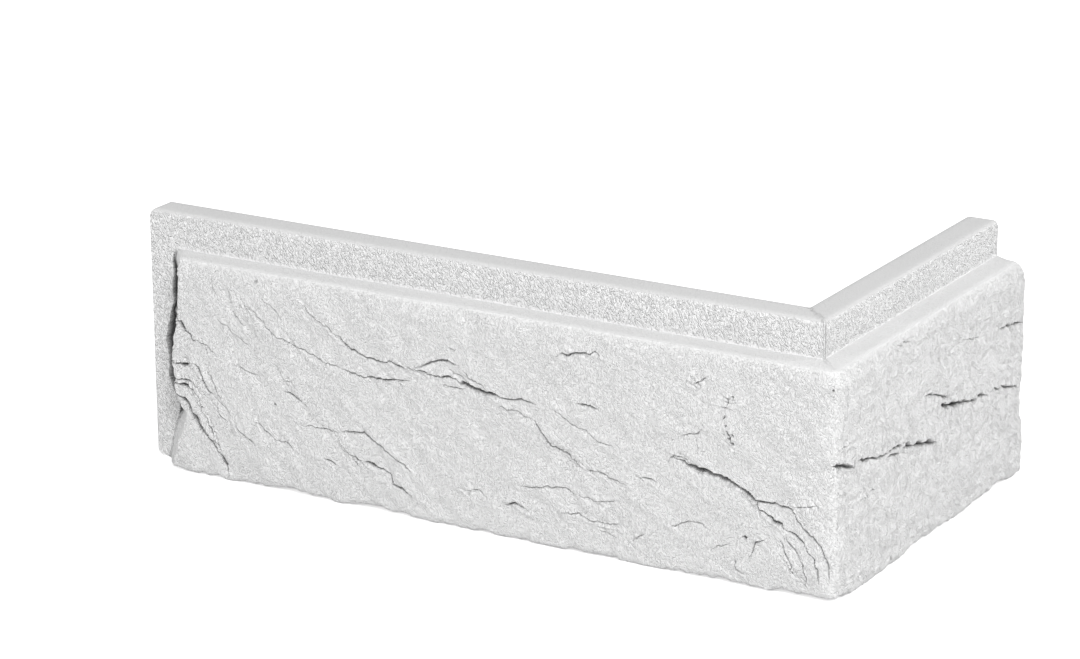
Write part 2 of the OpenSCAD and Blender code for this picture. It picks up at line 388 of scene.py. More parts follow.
def build_rows(shape):
    """Girths of the skin's rows, close together on the brick face and further apart behind."""
    girth, inset, height = shape.girth_table()
    face_start = shape.depth - shape.foot_r
    face_stop = face_start + math.pi / 2 * shape.foot_r + (shape.face - shape.foot_r - shape.top_r)
    arris_stop = face_stop + math.pi / 2 * shape.top_r
    shelf_stop = arris_stop + shape.relief - shape.top_r
    strip_stop = shelf_stop + shape.height - shape.face - shape.plate_r
    edge_stop = strip_stop + math.pi / 2 * shape.plate_r
    top_stop = edge_stop + shape.depth - shape.relief - shape.plate_r - shape.back_r
    back_start = top_stop + math.pi / 2 * shape.back_r
    stops = [
        (0, face_start - 4, 6.0), (face_start - 4, face_start, 1.4), (face_start, arris_stop, shape.step),
        (arris_stop, shelf_stop, 1.2), (shelf_stop, strip_stop, 1.0), (strip_stop, edge_stop, 0.7),
        (edge_stop, top_stop, 1.8), (top_stop, back_start, 0.6), (back_start, girth[-1], 12.0)]
    rows = []
    for start, stop, step in stops:
        count = max(1, round((stop - start) / step))
        rows += list(np.linspace(start, stop, count, endpoint=False))
    marks = {"foot": face_start, "face": face_stop, "arris": arris_stop, "shelf": shelf_stop,
             "strip": strip_stop, "edge": edge_stop, "top": top_stop, "back": back_start, "end": girth[-1]}
    return np.array(rows), marks


def build_stations(shape):
    """Along positions of the skin's stations with the share of the relief that stands there."""
    left = -(shape.brick - shape.slack)
    far = shape.header - shape.slack
    close = np.array(CLOSE_STATIONS)
    outer = left - shape.joint
    strip = np.concatenate([outer + close, np.arange(outer + 3.4, left - 1.4, 1.0),
                            left - np.array(SLIT_STATIONS)])

    def run(start, stop, step):
        return np.linspace(start, stop, round((stop - start) / step), endpoint=False)

    half = shape.half_turn
    long_run = run(left, -half, shape.step)
    turn = run(-half, half, shape.step)
    short_run = run(half, far - close[-1], shape.step * 1.1)
    wall = np.linspace(0, 1, WALL_STATIONS)
    along = np.concatenate([strip, [left] * WALL_STATIONS, long_run[1:], turn, short_run, far - close[::-1]])
    share = np.concatenate([np.zeros(len(strip)), wall, np.ones(len(along) - len(strip) - WALL_STATIONS)])
    return along, share


# Left end of the brick face: height and millimetres right of the nominal end of its front edge
FRONT_EDGE = [
    (0, -0.5), (3, 0.5), (6, 1.3), (10, 2.8), (16, 4.6), (20.5, 6), (22, 4), (25, 2.6), (30, 2.1),
    (40, 1.9), (46, 2), (50, 3.1), (53.5, 4.3), (60, 4), (65, 4.4), (69, 5), (71.5, 6)]
FRONT_STRAY = [(0.5, 4.0, 61), (0.25, 1.5, 62)]
# How far the left end's wall spreads towards the plate, and the stations on it
WALL_SPREAD = 7.6
WALL_STATIONS = 8
# Length over which the face is drawn in with its front edge
EDGE_FADE = 30.0
# Radii of the brick face's ends, its far upper corner and the plate's free corners
END_R = 1.8
FAR_CORNER_R = 4.5
PLATE_CORNER_R = 2.5
# Stations close together at the plate's rounded ends and across the slit, in millimetres
CLOSE_STATIONS = [0, 0.12, 0.45, 1.0, 1.7, 2.5]
SLIT_STATIONS = [1.3, 1.05, 0.8, 0.5, 0.2]
SLIT_DEPTH = 3.4
SLIT_STRAY = [(0.35, 2.2, 63)]
LEAST_OPENING = 0.25

# Slope of the creases across the long face: millimetres from the left end, fall per millimetre
FLOW_FALL = [
    (0, 1.9), (30, 1.5), (60, 0.95), (100, 0.6), (150, 0.42), (200, 0.4), (222, 0.8), (240, 1.8)]

# How far the brick face lies behind the CAD face, everywhere and more at the corner
FACE_SETBACK = 0.95
CORNER_SETBACK = 0.8
CORNER_REACH = 4.5
LEAST_SETBACK = 0.02
# Lengths over which the relief calms at the foot and at the upper arris
FOOT_CALM = 4
ARRIS_CALM = 2
# The lower edge lifts and the far end draws in, unevenly and up to a most
LIFT, MOST_LIFT = 0.8, 2.2
LIFT_WAVES = [(0.8, 16, 71), (0.5, 6, 72), (0.5, 2.2, 73)]
DRAW_IN, MOST_DRAW_IN = 0.8, 2.4
DRAW_IN_WAVES = [(1.1, 9, 81), (0.7, 3.5, 82)]

# Waves of the brick face as (size, layers, seed), and their heights on each leg: broad waves,
# lumps, small lumps, and the folds of the long leg or the chunks of the short one
BROAD, LUMPS, SMALL = (42, 2, 11), (15, 3, 21), (5.2, 3, 31)
FOLDS, CHUNKS = (12, 2, 41), (9, 2, 51)
FOLD_STRAY = [(1.6, 11, 45), (0.6, 4, 46)]
LONG_WAVES = [0.15, 0.3, 0.36, 0.7]
SHORT_WAVES = [0.35, 0.55, 0.34, 0.7]


def flow_rise(from_left):
    """How much higher a crease would lie at the left end, which is the same all along one crease."""
    reach = np.linspace(0, 260, 261)
    fall = np.interp(reach, *np.array(FLOW_FALL).T)
    return np.interp(from_left, reach, np.concatenate([[0], np.cumsum(fall[:-1])]))


def corner_turn(shape, along, inset):
    """Radius of the corner at an inset, and how far the corner has turned."""
    least = np.interp(inset, [shape.relief, shape.depth], [0.25, 0])
    turned = np.clip((along + shape.half_turn) / (2 * shape.half_turn), 0, 1) * math.pi / 2
    return np.maximum(shape.corner_r - inset, least), turned


def place(shape, along, inset, height):
    """Points in the corner frame for their running length, inset and height."""
    radius, turned = corner_turn(shape, along, inset)
    centre = inset + radius
    on_long = along <= -shape.half_turn
    on_short = along >= shape.half_turn
    x = np.where(on_long, np.minimum(along - shape.slack, -centre), -centre + radius * np.sin(turned))
    x = np.where(on_short, -inset, x)
    y = np.where(on_short, np.maximum(along + shape.slack, centre), centre - radius * np.cos(turned))
    y = np.where(on_long, inset, y)
    return np.stack([x, y, height], axis=-1)


class Cleft:
    """A crack in the brick face as a roughened path of along and height."""

    def __init__(self, index, size, corners):
        width, self.depth, self.lip = size
        self.half_width = width / 2
        corners = np.array(corners, dtype=float)
        gaps = np.hypot(*np.diff(corners, axis=0).T)
        run = np.concatenate([[0], np.cumsum(gaps)])
        count = max(3, int(run[-1] / PATH_STEP) + 1)
        steps = np.linspace(0, run[-1], count)
        path = np.stack([np.interp(steps, run, corners[:, k]) for k in (0, 1)], axis=-1)
        spots = np.stack([path[:, 0], path[:, 1], np.full(count, index * 7.0)], axis=-1)
        path[:, 0] += noise_sum(spots, STRAY_ALONG)
        path[:, 1] += noise_sum(spots, STRAY_UP)
        self.path = path
        self.run = np.concatenate([[0], np.cumsum(np.hypot(*np.diff(path, axis=0).T))])

    def near(self, along, height, margin):
        """Which points lie close to the cleft's box."""
        low, high = self.path.min(axis=0) - margin, self.path.max(axis=0) + margin
        return np.nonzero((along > low[0]) & (along < high[0]) & (height > low[1]) & (height < high[1]))[0]

    def measure(self, along, height):
        """Distance, side, run and nearest point on the path."""
        spots = np.stack([along, height], axis=-1)
        best = np.full(len(spots), 1e9)
        side, run, foot = np.zeros(len(spots)), np.zeros(len(spots)), np.zeros_like(spots)
        for k in range(len(self.path) - 1):
            a, b = self.path[k], self.path[k + 1]
            d = b - a
            t = np.clip((spots - a) @ d / (d @ d), 0, 1)
            near = a + t[:, None] * d
            gap = np.hypot(*(spots - near).T)
            closer = gap < best
            best[closer] = gap[closer]
            cross = d[0] * (spots[:, 1] - a[1]) - d[1] * (spots[:, 0] - a[0])
            side[closer] = np.sign(cross[closer])
            run[closer] = (self.run[k] + t * np.hypot(*d))[closer]
            foot[closer] = near[closer]
        return best, side, run, foot


def all_clefts(shape):
    """Every cleft, placed in running lengths."""
    left = -(shape.brick - shape.slack)
    long_leg = [(CLEFT_KINDS[kind], corners) for kind, corners in LONG_CLEFTS]
    long_leg += [((2 * r, 2.5 * r, 0), [(u - 0.2, z), (u + 0.2, z)]) for u, z, r in PITS]
    clefts = []
    for size, corners in long_leg:
        along, height = np.array(corners, dtype=float).T
        # The face is drawn in at its left end, so a cleft there starts further out
        front = np.interp(height, *np.array(FRONT_EDGE).T)
        flush = np.where(along < EDGE_FADE, (along - front) / (1 - front / EDGE_FADE), along)
        clefts.append(Cleft(len(clefts), size, np.stack([left + flush, height], axis=-1)))
    for kind, corners in HEADER_CLEFTS:
        placed = np.array(corners, dtype=float) - [shape.slack, 0]
        clefts.append(Cleft(len(clefts), CLEFT_KINDS[kind], placed))
    return clefts


def cleft_distance(clefts, along, height, margin):
    """Distance to the nearest cleft's bank, and the point on the nearest path."""
    best = np.full(len(along), 1e9)
    foot = np.zeros((len(along), 2))
    for cleft in clefts:
        near = cleft.near(along, height, margin + cleft.half_width)
        if len(near) == 0:
            continue
        gap, _, _, spot = cleft.measure(along[near], height[near])
        closer = gap < best[near]
        best[near[closer]] = gap[closer]
        foot[near[closer]] = spot[closer]
    return best, foot


def carve(clefts, along, height):
    """Depth of the clefts, the step of their lips and the painted shade laid down in them."""
    depth, step, painted_shade = np.zeros(len(along)), np.zeros(len(along)), np.zeros(len(along))
    for cleft in clefts:
        near = cleft.near(along, height, LIP_REACH)
        if len(near) == 0:
            continue
        gap, side, run, _ = cleft.measure(along[near], height[near])
        total = cleft.run[-1]
        end = min(CLEFT_TAPER, total * 0.3)
        taper = np.ones(len(run))
        if total > 1.5:
            taper = smooth(-0.1, end, run) * smooth(-0.1, end, total - run)
        spots = np.stack([run, np.full(len(run), cleft.path[0, 0]), np.zeros(len(run))], axis=-1)
        taper = taper * (0.75 + 0.25 * smooth(-0.5, 0.3, noise(spots, 5.0, 78)))
        width = cleft.half_width * (0.75 + 0.45 * noise(spots, 3.0, 77)) * (0.35 + 0.65 * taper)
        wall = np.clip(1 - gap / width, 0, 1)
        cut = cleft.depth * (0.25 + 0.75 * taper) * np.clip(wall * 1.6, 0, 1)
        depth[near] = np.maximum(depth[near], cut)
        # Painted shade: the colour darkens towards the cleft's floor, and more in deeper clefts
        painted_shade[near] = np.maximum(painted_shade[near], np.clip(wall * 1.5, 0, 1) * (0.35 + 0.65 * taper)
                                * min(1, 0.35 + cleft.depth / 2.5))
        fall = np.exp(-gap / LIP_FALL) * taper * cleft.lip
        step[near] += np.where(side < 0, fall, -LIP_RISE * fall)
    return depth, step, painted_shade


def refine(params, faces, chosen):
    """Splits each chosen quad in four, and gives its neighbours the new points on their edges."""
    middles = {}
    params = list(params)

    def middle(a, b):
        key = (a, b) if a < b else (b, a)
        if key not in middles:
            middles[key] = len(params)
            params.append((params[a] + params[b]) / 2)
        return middles[key]

    split = []
    for face, pick in zip(faces, chosen):
        if pick and len(face) == 4:
            a, b, c, d = face
            ab, bc, cd, da = middle(a, b), middle(b, c), middle(c, d), middle(d, a)
            centre = len(params)
            params.append((params[a] + params[b] + params[c] + params[d]) / 4)
            split += [[a, ab, centre, da], [ab, b, bc, centre], [centre, bc, c, cd], [da, centre, cd, d]]
        else:
            split.append(face)
    whole = []
    for face in split:
        ring = []
        for a, b in zip(face, face[1:] + face[:1]):
            ring.append(a)
            key = (a, b) if a < b else (b, a)
            if key in middles:
                ring.append(middles[key])
        whole.append(ring)
    return np.array(params), whole


class Skin:
    """The slip's whole surface: its running lengths, its points and its masks."""

    def __init__(self, shape):
        self.shape = shape
        self.clefts = all_clefts(shape)
        self.girth, self.table_inset, self.table_height = shape.girth_table()
        rows, self.marks = build_rows(shape)
        along, share = build_stations(shape)
        self.grid(along, share, rows)
        for margin in SPLIT_MARGINS:
            self.split_near_clefts(margin)
        self.snap_to_clefts()
        self.shape_points()

    def grid(self, along, share, rows):
        """Quads between neighbouring stations and rows, with the rows closed into a ring."""
        stations, ring = len(along), len(rows)
        params = np.zeros((stations, ring, 3))
        params[..., 0] = along[:, None]
        params[..., 1] = rows[None, :]
        params[..., 2] = share[:, None]
        i, j = np.meshgrid(np.arange(stations - 1), np.arange(ring - 1), indexing="ij")
        a = i * ring + j
        faces = np.stack([a, a + ring, a + ring + 1, a + 1], axis=-1).reshape(-1, 4)
        # The last row meets the first, one whole girth further on
        i = np.arange(stations - 1)
        a = i * ring + ring - 1
        closing = np.stack([a, a + ring, a + 1, a + 1 - ring], axis=-1)
        self.params = params.reshape(-1, 3)
        self.faces = np.concatenate([faces, closing]).tolist()

    def heights(self, params):
        """Nominal inset and height of points from their girth."""
        return (np.interp(params[:, 1], self.girth, self.table_inset),
                np.interp(params[:, 1], self.girth, self.table_height))

    def split_near_clefts(self, margin):
        """One round of finer quads along the clefts."""
        low, high = self.marks["foot"], self.marks["arris"] - ARRIS_CALM
        centres = np.array([self.params[face].mean(axis=0) for face in self.faces])
        height = self.heights(centres)[1]
        chosen = np.zeros(len(self.faces), dtype=bool)
        on_face = (centres[:, 1] > low) & (centres[:, 1] < high) & (centres[:, 2] > 0.99)
        field = np.nonzero(on_face)[0]
        gap, _ = cleft_distance(self.clefts, centres[field, 0], height[field], margin)
        chosen[field] = gap < margin
        self.params, self.faces = refine(self.params, self.faces, chosen)

    def snap_to_clefts(self):
        """Moves the points beside a cleft's path onto it, so that its floor is one clean line."""
        marks = self.marks
        girth, share = self.params[:, 1], self.params[:, 2]
        flat = (girth > marks["foot"] + FOOT_CALM) & (girth < marks["face"]) & (share > 0.99)
        flat = np.nonzero(flat)[0]
        height = self.heights(self.params[flat])[1]
        gap, foot = cleft_distance(self.clefts, self.params[flat, 0], height, 0.5)
        pick = gap < self.shape.step * SNAP_SHARE
        edge = -(self.shape.brick - self.shape.slack)
        self.params[flat[pick], 0] = np.maximum(foot[pick, 0], edge)
        self.params[flat[pick], 1] += foot[pick, 1] - height[pick]

    def shape_points(self):
        """Works out every point's place and masks."""
        shape, marks = self.shape, self.marks
        along, girth, share = self.params.T
        inset, height = self.heights(self.params)
        from_left = along + shape.brick - shape.slack
        far_gap = shape.header - shape.slack - along
        on_short = smooth(-2, 3, along)
        in_face = (girth > marks["foot"]) & (girth < marks["arris"])
        in_relief = (inset < shape.relief - 1e-6) & (girth < marks["shelf"])

        # Waves, lumps and clefts on the brick face
        flat = place(shape, along, inset, height)
        rise = height + flow_rise(from_left)
        waves = self.waves(flat, rise, from_left, on_short)
        depth, step, painted_shade = carve(self.clefts, along, height)
        middle = smooth(marks["foot"], marks["foot"] + FOOT_CALM, girth)
        middle = middle * (1 - smooth(marks["face"] + 2, marks["arris"], girth))
        middle = middle * smooth(0, 3, far_gap)
        at_corner = np.exp(-(along / CORNER_REACH) ** 2)
        push = FACE_SETBACK + waves + CORNER_SETBACK * at_corner + step
        push = push * (0.3 + 0.7 * middle) + depth * middle
        near_face = smooth(marks["foot"] - 3, marks["foot"] + 2, girth)
        near_face = near_face * (1 - smooth(marks["arris"] - ARRIS_CALM, marks["arris"], girth))
        ends = np.maximum(np.where(share > 0, round_off(from_left), 0), round_off(far_gap))
        rounded = np.maximum(inset, ends)
        sunk_face = rounded + np.maximum(push, LEAST_SETBACK) * near_face
        inset = np.where(in_face, sunk_face, np.where(in_relief, rounded, inset))

        # The left end: its wall runs from the foot of the slit to the front edge
        on_wall = in_relief | in_face
        upright = flat * [0, 0, 1]
        open_share = np.interp(height, *np.array(END_SLIT).T)
        slit = SLIT_DEPTH * open_share * (from_left > -SLIT_STATIONS[0] + 0.01)
        foot = shape.relief + np.where(on_wall, slit, 0)
        wall_inset = foot - (foot - np.minimum(inset, shape.relief)) * share
        inset = np.where(on_wall & (share < 1), wall_inset, inset)
        front = noise_sum(upright, FRONT_STRAY, np.interp(height, *np.array(FRONT_EDGE).T))
        foot_x = front - WALL_SPREAD
        lean = np.where(share > 0.999, front * np.clip(1 - from_left / EDGE_FADE, 0, 1),
                        foot_x + (front - foot_x) * share ** 0.8)
        beside = np.clip((from_left + shape.joint) / (shape.joint - SLIT_STATIONS[0] - 0.1), 0, 1)
        opening = open_share * noise_sum(upright, SLIT_STRAY, 0.85)
        narrowing = np.interp(from_left, [-5, -SLIT_STATIONS[0], 0], [0, SLIT_STATIONS[0], 0])
        narrowing = narrowing * (1 - np.clip(opening, LEAST_OPENING, 1))
        shift = np.where((from_left < 0) & (share < 0.5), foot_x * beside + narrowing, lean)
        shift *= np.where(girth > marks["shelf"], 1 - smooth(shape.face, shape.height - 2, height), 1)
        behind = (girth > marks["back"]) | (girth < marks["foot"] - 4)
        shift = np.where(behind | (along > -shape.half_turn), 0, shift)
        points = place(shape, along, inset, height)
        points[:, 0] += shift

        # The lower edge waves, and so does the far end
        level = np.stack([along, np.zeros(len(along)), np.zeros(len(along))], axis=-1)
        lift = noise_sum(level, LIFT_WAVES, LIFT)
        lift = np.clip(lift, 0, MOST_LIFT) * smooth(-3, 6, from_left)
        lift += round_off(np.maximum(from_left, 0), MOST_LIFT) * share * LIFT
        near_foot = smooth(marks["foot"] - FOOT_CALM, marks["foot"], girth)
        near_foot = near_foot * (1 - smooth(0, 12, height)) * (girth < marks["arris"])
        points[:, 2] += lift * near_foot
        draw_in = np.clip(noise_sum(upright, DRAW_IN_WAVES, DRAW_IN), 0, MOST_DRAW_IN)
        clear = smooth(0, 4, height) * (1 - smooth(shape.face - 4, shape.face, height))
        draw_in *= clear * (girth < marks["arris"])
        points[:, 1] -= draw_in * (1 - smooth(0, 9, far_gap))

        near_top = smooth(shape.face - 9, shape.face, height) * (girth < marks["shelf"])
        points[:, 2] -= round_off(far_gap, FAR_CORNER_R) * near_top * np.clip(1 - inset / shape.relief, 0, 1)

        # Rounded free corners of the plate in elevation
        cut = round_off(from_left + np.where(share < 0.5, shift, 0) + shape.joint, PLATE_CORNER_R)
        points[:, 2] = cut + points[:, 2] * (shape.height - 2 * cut) / shape.height
        above = np.maximum(points[:, 2] - shape.face, 0) / (shape.height - shape.face)
        points[:, 2] -= round_off(far_gap, PLATE_CORNER_R) * above

        self.points = points
        run_up = np.where(in_relief & (share < 0.01), height + marks["shelf"] - shape.face, girth)
        radius, turned = corner_turn(shape, along, inset)
        run = along + shift - np.clip(along, -shape.half_turn, shape.half_turn) + radius * turned
        self.place = np.stack([run, run_up, np.zeros(len(along))], axis=-1)
        # Painted shade down in the clefts, handed to the shader as the cleft attribute
        self.painted_shade = np.where(in_face & (share > 0.99), painted_shade * middle, 0)
        # Painted shade down in the slit at the left end: the colour darkens where the wall sinks behind the
        # relief
        slit_painted_shade = np.clip((inset - shape.relief) / 1.2, 0, 1) * on_wall * (share < 1)
        self.painted_shade = np.maximum(self.painted_shade, slit_painted_shade)
        self.face_fade = (1 - smooth(marks["face"] + 2, marks["arris"], girth)) * (1 - 0.3 * at_corner)
        lower = np.where(share < 0.01, smooth(marks["foot"], marks["foot"] + 2, girth),
                         smooth(marks["shelf"] - 0.2, marks["shelf"] + 1.2, girth))
        self.strip_fade = lower * (1 - smooth(marks["strip"] - 0.8, marks["edge"], girth))

    def waves(self, flat, rise, from_left, on_short):
        """Height of the slow waves, lumps and folds, positive into the brick."""
        shared = [layered(flat, *kind) for kind in (BROAD, LUMPS, SMALL)]
        flow = np.stack(
            [rise + noise_sum(flat, FOLD_STRAY), from_left * 0.18, on_short * 40], axis=-1)
        folds = layered(flow, *FOLDS) * 2.2 + 8
        terrace = folds - np.floor(folds)
        terrace = np.where(terrace < 0.82, terrace / 0.82, (1 - terrace) / 0.18)
        chunks = layered(flat, *CHUNKS) * 2.0 + 8
        chunk = chunks - np.floor(chunks)
        chunk = np.where(chunk < 0.8, chunk / 0.8, (1 - chunk) / 0.2)
        long_waves, short_waves = (
            sum(height * part for height, part in zip(heights, [*shared, last - 0.5]))
            for heights, last in ((LONG_WAVES, terrace), (SHORT_WAVES, chunk)))
        return (1 - on_short) * long_waves + on_short * short_waves


def round_off(gap, radius=None):
    """How far a rounded edge lies behind its plane at a distance from its end."""
    radius = radius or END_R
    reach = np.clip(radius - gap, 0, radius)
    return radius - np.sqrt(radius**2 - reach**2)


# Millimetres within which points are joined, the shortest edge that is kept, and the angle from
# which an edge is shaded sharp
WELD_GAP = 0.004
LEAST_EDGE = 0.001
SHARP_ANGLE = math.radians(48)
FINISHES = ["face_concrete", "edge_concrete_and_painted_shade", "strip_concrete", "rim_concrete_painted_shade", "back_concrete"]


def face_finish(skin):
    """Index of each face's finish, from the girth of its middle."""
    marks = skin.marks
    girth = np.array([skin.params[face, 1].mean() for face in skin.faces])
    share = np.array([skin.params[face, 2].mean() for face in skin.faces])
    finish = np.zeros(len(girth), dtype=int)
    edge, strip, rim, back = (FINISHES.index(name) for name in FINISHES[1:])
    finish[girth > marks["arris"] - ARRIS_CALM] = edge
    finish[girth > marks["shelf"]] = strip
    finish[girth > marks["strip"]] = rim
    finish[girth > marks["back"]] = back
    finish[girth < marks["foot"] - FOOT_CALM] = back
    # A quad of the closing row spans nearly the whole girth
    span = np.array([np.ptp(skin.params[face, 1]) for face in skin.faces])
    finish[span > marks["end"] / 4] = back
    finish[(share < 0.01) & (girth > marks["foot"]) & (girth < marks["strip"])] = strip
    return finish


def build_mesh(shape):
    """The skin as one closed mesh."""
    skin = Skin(shape)
    mesh = bpy.data.meshes.new("corner_slip")
    mesh.from_pydata(((skin.points + shape.offset) * MM).tolist(), [], skin.faces)
    mesh.polygons.foreach_set("material_index", face_finish(skin))
    # The cleft layer is painted shade: it darkens the colour in the clefts, the pits and the slit
    layers = {"cleft": skin.painted_shade, "face_fade": skin.face_fade, "strip_fade": skin.strip_fade}
    for name, values in layers.items():
        layer = mesh.attributes.new(name, "FLOAT", "POINT")
        layer.data.foreach_set("value", values.astype(np.float32))
    layer = mesh.attributes.new("skin", "FLOAT_VECTOR", "POINT")
    layer.data.foreach_set("vector", (skin.place * MM).astype(np.float32).ravel())
    weld(mesh)
    return mesh


def weld(mesh):
    """Joins the points that meet at the corner and the wall's foot, and closes the two ends."""
    work = bmesh.new()
    work.from_mesh(mesh)
    bmesh.ops.remove_doubles(work, verts=work.verts, dist=WELD_GAP * MM)
    bmesh.ops.dissolve_degenerate(work, edges=work.edges, dist=LEAST_EDGE * MM)
    loose = [edge for edge in work.edges if edge.is_wire]
    bmesh.ops.delete(work, geom=loose, context="EDGES")
    rim = [edge for edge in work.edges if edge.is_boundary]
    for face in bmesh.ops.holes_fill(work, edges=rim, sides=0)["faces"]:
        face.material_index = FINISHES.index("back_concrete")
    bmesh.ops.recalc_face_normals(work, faces=work.faces)
    for face in work.faces:
        face.smooth = True
    work.to_mesh(mesh)
    work.free()
    mesh.set_sharp_from_angle(angle=SHARP_ANGLE)


# Node helpers


def add_node(tree, kind, values=None, **settings):
    """A new node with its settings and its unlinked input values."""
    node = tree.nodes.new(kind)
    for name, value in settings.items():
        setattr(node, name, value)
    for socket, value in (values or {}).items():
        node.inputs[socket].default_value = value
    return node


def feed(tree, source, target):
    """Links an output socket to an input socket."""
    tree.links.new(source, target)


def maths(tree, operation, *values, clamp=False):
    """The output of a Math node whose inputs are sockets or numbers."""
    node = add_node(tree, "ShaderNodeMath", operation=operation, use_clamp=clamp)
    for index, value in enumerate(values):
        if isinstance(value, (int, float)):
            node.inputs[index].default_value = value
        else:
            feed(tree, value, node.inputs[index])
    return node.outputs[0]


def ramp(tree, value, low, high):
    """A smooth step from 0 at low to 1 at high, which may be numbers or sockets."""
    node = add_node(tree, "ShaderNodeMapRange", interpolation_type="SMOOTHSTEP")
    feed(tree, value, node.inputs["Value"])
    for name, bound in (("From Min", low), ("From Max", high)):
        if isinstance(bound, (int, float)):
            node.inputs[name].default_value = bound
        else:
            feed(tree, bound, node.inputs[name])
    return node.outputs["Result"]


def new_group(name, inputs, outputs):
    """An empty shader node group with its sockets, and its two end nodes."""
    tree = bpy.data.node_groups.new(name, "ShaderNodeTree")
    for label, kind, default in inputs:
        socket = tree.interface.new_socket(label, in_out="INPUT", socket_type=kind)
        if default is not None:
            socket.default_value = default
    for label, kind in outputs:
        tree.interface.new_socket(label, in_out="OUTPUT", socket_type=kind)
    return tree, add_node(tree, "NodeGroupInput"), add_node(tree, "NodeGroupOutput")


def scaled_place(tree, source, size):
    """The place divided by a size, for a texture whose cells are one unit."""
    node = add_node(tree, "ShaderNodeVectorMath", operation="SCALE")
    feed(tree, source, node.inputs[0])
    feed(tree, maths(tree, "DIVIDE", 1.0, size), node.inputs["Scale"])
    return node.outputs[0]


def grain_group():
    """Cast grain: short slanting lumps parted by sharp valleys, with finer grains on them."""
    tree, start, end = new_group(
        "cast_grain",
        [("Place", "NodeSocketVector", None), ("Size", "NodeSocketFloat", 0.001),
         ("Height", "NodeSocketFloat", 0.0001), ("Slant", "NodeSocketFloat", 1.13)],
        [("Height", "NodeSocketFloat")])
    turn = add_node(tree, "ShaderNodeVectorRotate", rotation_type="Z_AXIS")
    feed(tree, start.outputs["Place"], turn.inputs["Vector"])
    feed(tree, start.outputs["Slant"], turn.inputs["Angle"])
    squeeze = add_node(tree, "ShaderNodeVectorMath", {1: (0.55, 1.0, 1.0)}, operation="MULTIPLY")
    feed(tree, turn.outputs[0], squeeze.inputs[0])
    place = scaled_place(tree, squeeze.outputs[0], start.outputs["Size"])
    lumps = add_node(tree, "ShaderNodeTexNoise", {"Scale": 1.0, "Detail": 2.0, "Roughness": 0.5})
    feed(tree, place, lumps.inputs["Vector"])
    valley = maths(tree, "ABSOLUTE", maths(tree, "SUBTRACT", lumps.outputs["Fac"], 0.5))
    worms = maths(tree, "SUBTRACT", ramp(tree, valley, 0.0, 0.16), 0.5)
    soft = maths(tree, "MULTIPLY", maths(tree, "SUBTRACT", lumps.outputs["Fac"], 0.5), 1.6)
    level = maths(tree, "ADD", worms, soft)
    feed(tree, maths(tree, "MULTIPLY", level, start.outputs["Height"]), end.inputs["Height"])
    return tree


def pore_group():
    """Scattered pin holes."""
    tree, start, end = new_group(
        "pin_holes",
        [("Place", "NodeSocketVector", None), ("Spacing", "NodeSocketFloat", 0.008),
         ("Radius", "NodeSocketFloat", 0.06), ("Depth", "NodeSocketFloat", 0.0005)],
        [("Height", "NodeSocketFloat"), ("Mask", "NodeSocketFloat")])
    place = scaled_place(tree, start.outputs["Place"], start.outputs["Spacing"])
    cells = add_node(tree, "ShaderNodeTexVoronoi", {"Scale": 1.0}, feature="F1")
    feed(tree, place, cells.inputs["Vector"])
    parts = add_node(tree, "ShaderNodeSeparateColor")
    feed(tree, cells.outputs["Color"], parts.inputs["Color"])
    radius = maths(tree, "MULTIPLY", start.outputs["Radius"], ramp(tree, parts.outputs[0], 0.55, 1.0))
    inside = maths(tree, "SUBTRACT", radius, cells.outputs["Distance"])
    mask = maths(tree, "MULTIPLY", maths(tree, "DIVIDE", inside, 0.03), 1.0, clamp=True)
    feed(tree, mask, end.inputs["Mask"])
    feed(tree, maths(tree, "MULTIPLY", mask, maths(tree, "MULTIPLY", start.outputs["Depth"], -1.0)),
         end.inputs["Height"])
    return tree


def mottle_group():
    """Soft cloudy change of tone."""
    tree, start, end = new_group(
        "cloudy_tone",
        [("Place", "NodeSocketVector", None), ("Colour", "NodeSocketColor", (0.7, 0.7, 0.7, 1)),
         ("Amount", "NodeSocketFloat", 0.05), ("Size", "NodeSocketFloat", 0.03)],
        [("Colour", "NodeSocketColor")])
    place = scaled_place(tree, start.outputs["Place"], start.outputs["Size"])
    clouds = add_node(tree, "ShaderNodeTexNoise", {"Scale": 1.0, "Detail": 4.0, "Roughness": 0.6})
    feed(tree, place, clouds.inputs["Vector"])
    swing = maths(tree, "SUBTRACT", clouds.outputs["Fac"], 0.5)
    swing = maths(tree, "MULTIPLY", swing, start.outputs["Amount"])
    factor = maths(tree, "ADD", 1.0, maths(tree, "MULTIPLY", swing, 2.0))
    tinted = add_node(tree, "ShaderNodeVectorMath", operation="SCALE")
    feed(tree, start.outputs["Colour"], tinted.inputs[0])
    feed(tree, factor, tinted.inputs["Scale"])
    feed(tree, tinted.outputs[0], end.inputs["Colour"])
    return tree


